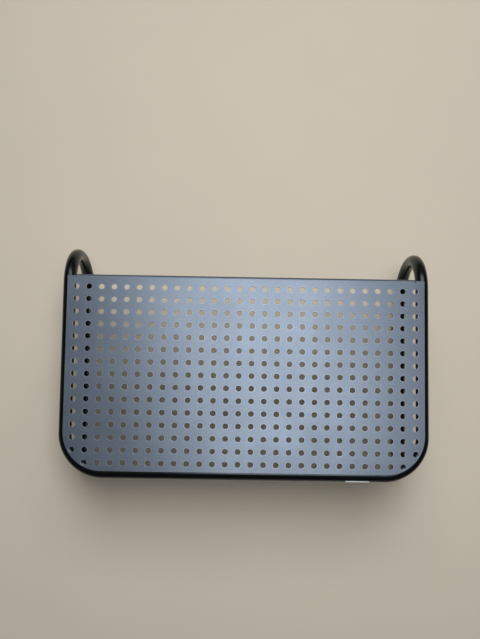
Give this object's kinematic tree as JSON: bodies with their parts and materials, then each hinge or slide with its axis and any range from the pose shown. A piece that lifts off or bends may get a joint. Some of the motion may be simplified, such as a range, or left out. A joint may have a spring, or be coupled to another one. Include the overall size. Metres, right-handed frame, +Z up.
{
  "type": "desk riser",
  "caption": "Low C-shaped riser: a perforated steel deck welded on a bent tube frame, open underneath for storage, standing on rubber feet.",
  "frame": {"origin": "on the surface that the riser stands on, under the middle of its overall width and depth", "axes": "+X to the right and +Y to the back as seen by a person at the front, +Z up"},
  "size_m": [0.3744, 0.247, 0.0999],
  "materials": {
    "deck_coat": "satin pearl charcoal powder coat",
    "frame_coat": "semi-gloss black powder coat",
    "foot_rubber": "matte",
    "cap_plastic": "fine moulded texture",
    "plate_metal": "brushed",
    "tape_foam": "matte"
  },
  "bodies": {
    "root": {"deck_sheet": "deck_coat", "frame_tube": "frame_coat", "weld_beads_left": "frame_coat", "weld_beads_right": "frame_coat", "weld_beads_front": "frame_coat", "foot_front_left": "foot_rubber", "foot_front_right": "foot_rubber", "foot_rear_left": "foot_rubber", "foot_rear_right": "foot_rubber", "end_cap_left": "cap_plastic", "end_cap_right": "cap_plastic", "nameplate": "plate_metal", "nameplate_tape": "tape_foam"}
  },
  "joints": []
}
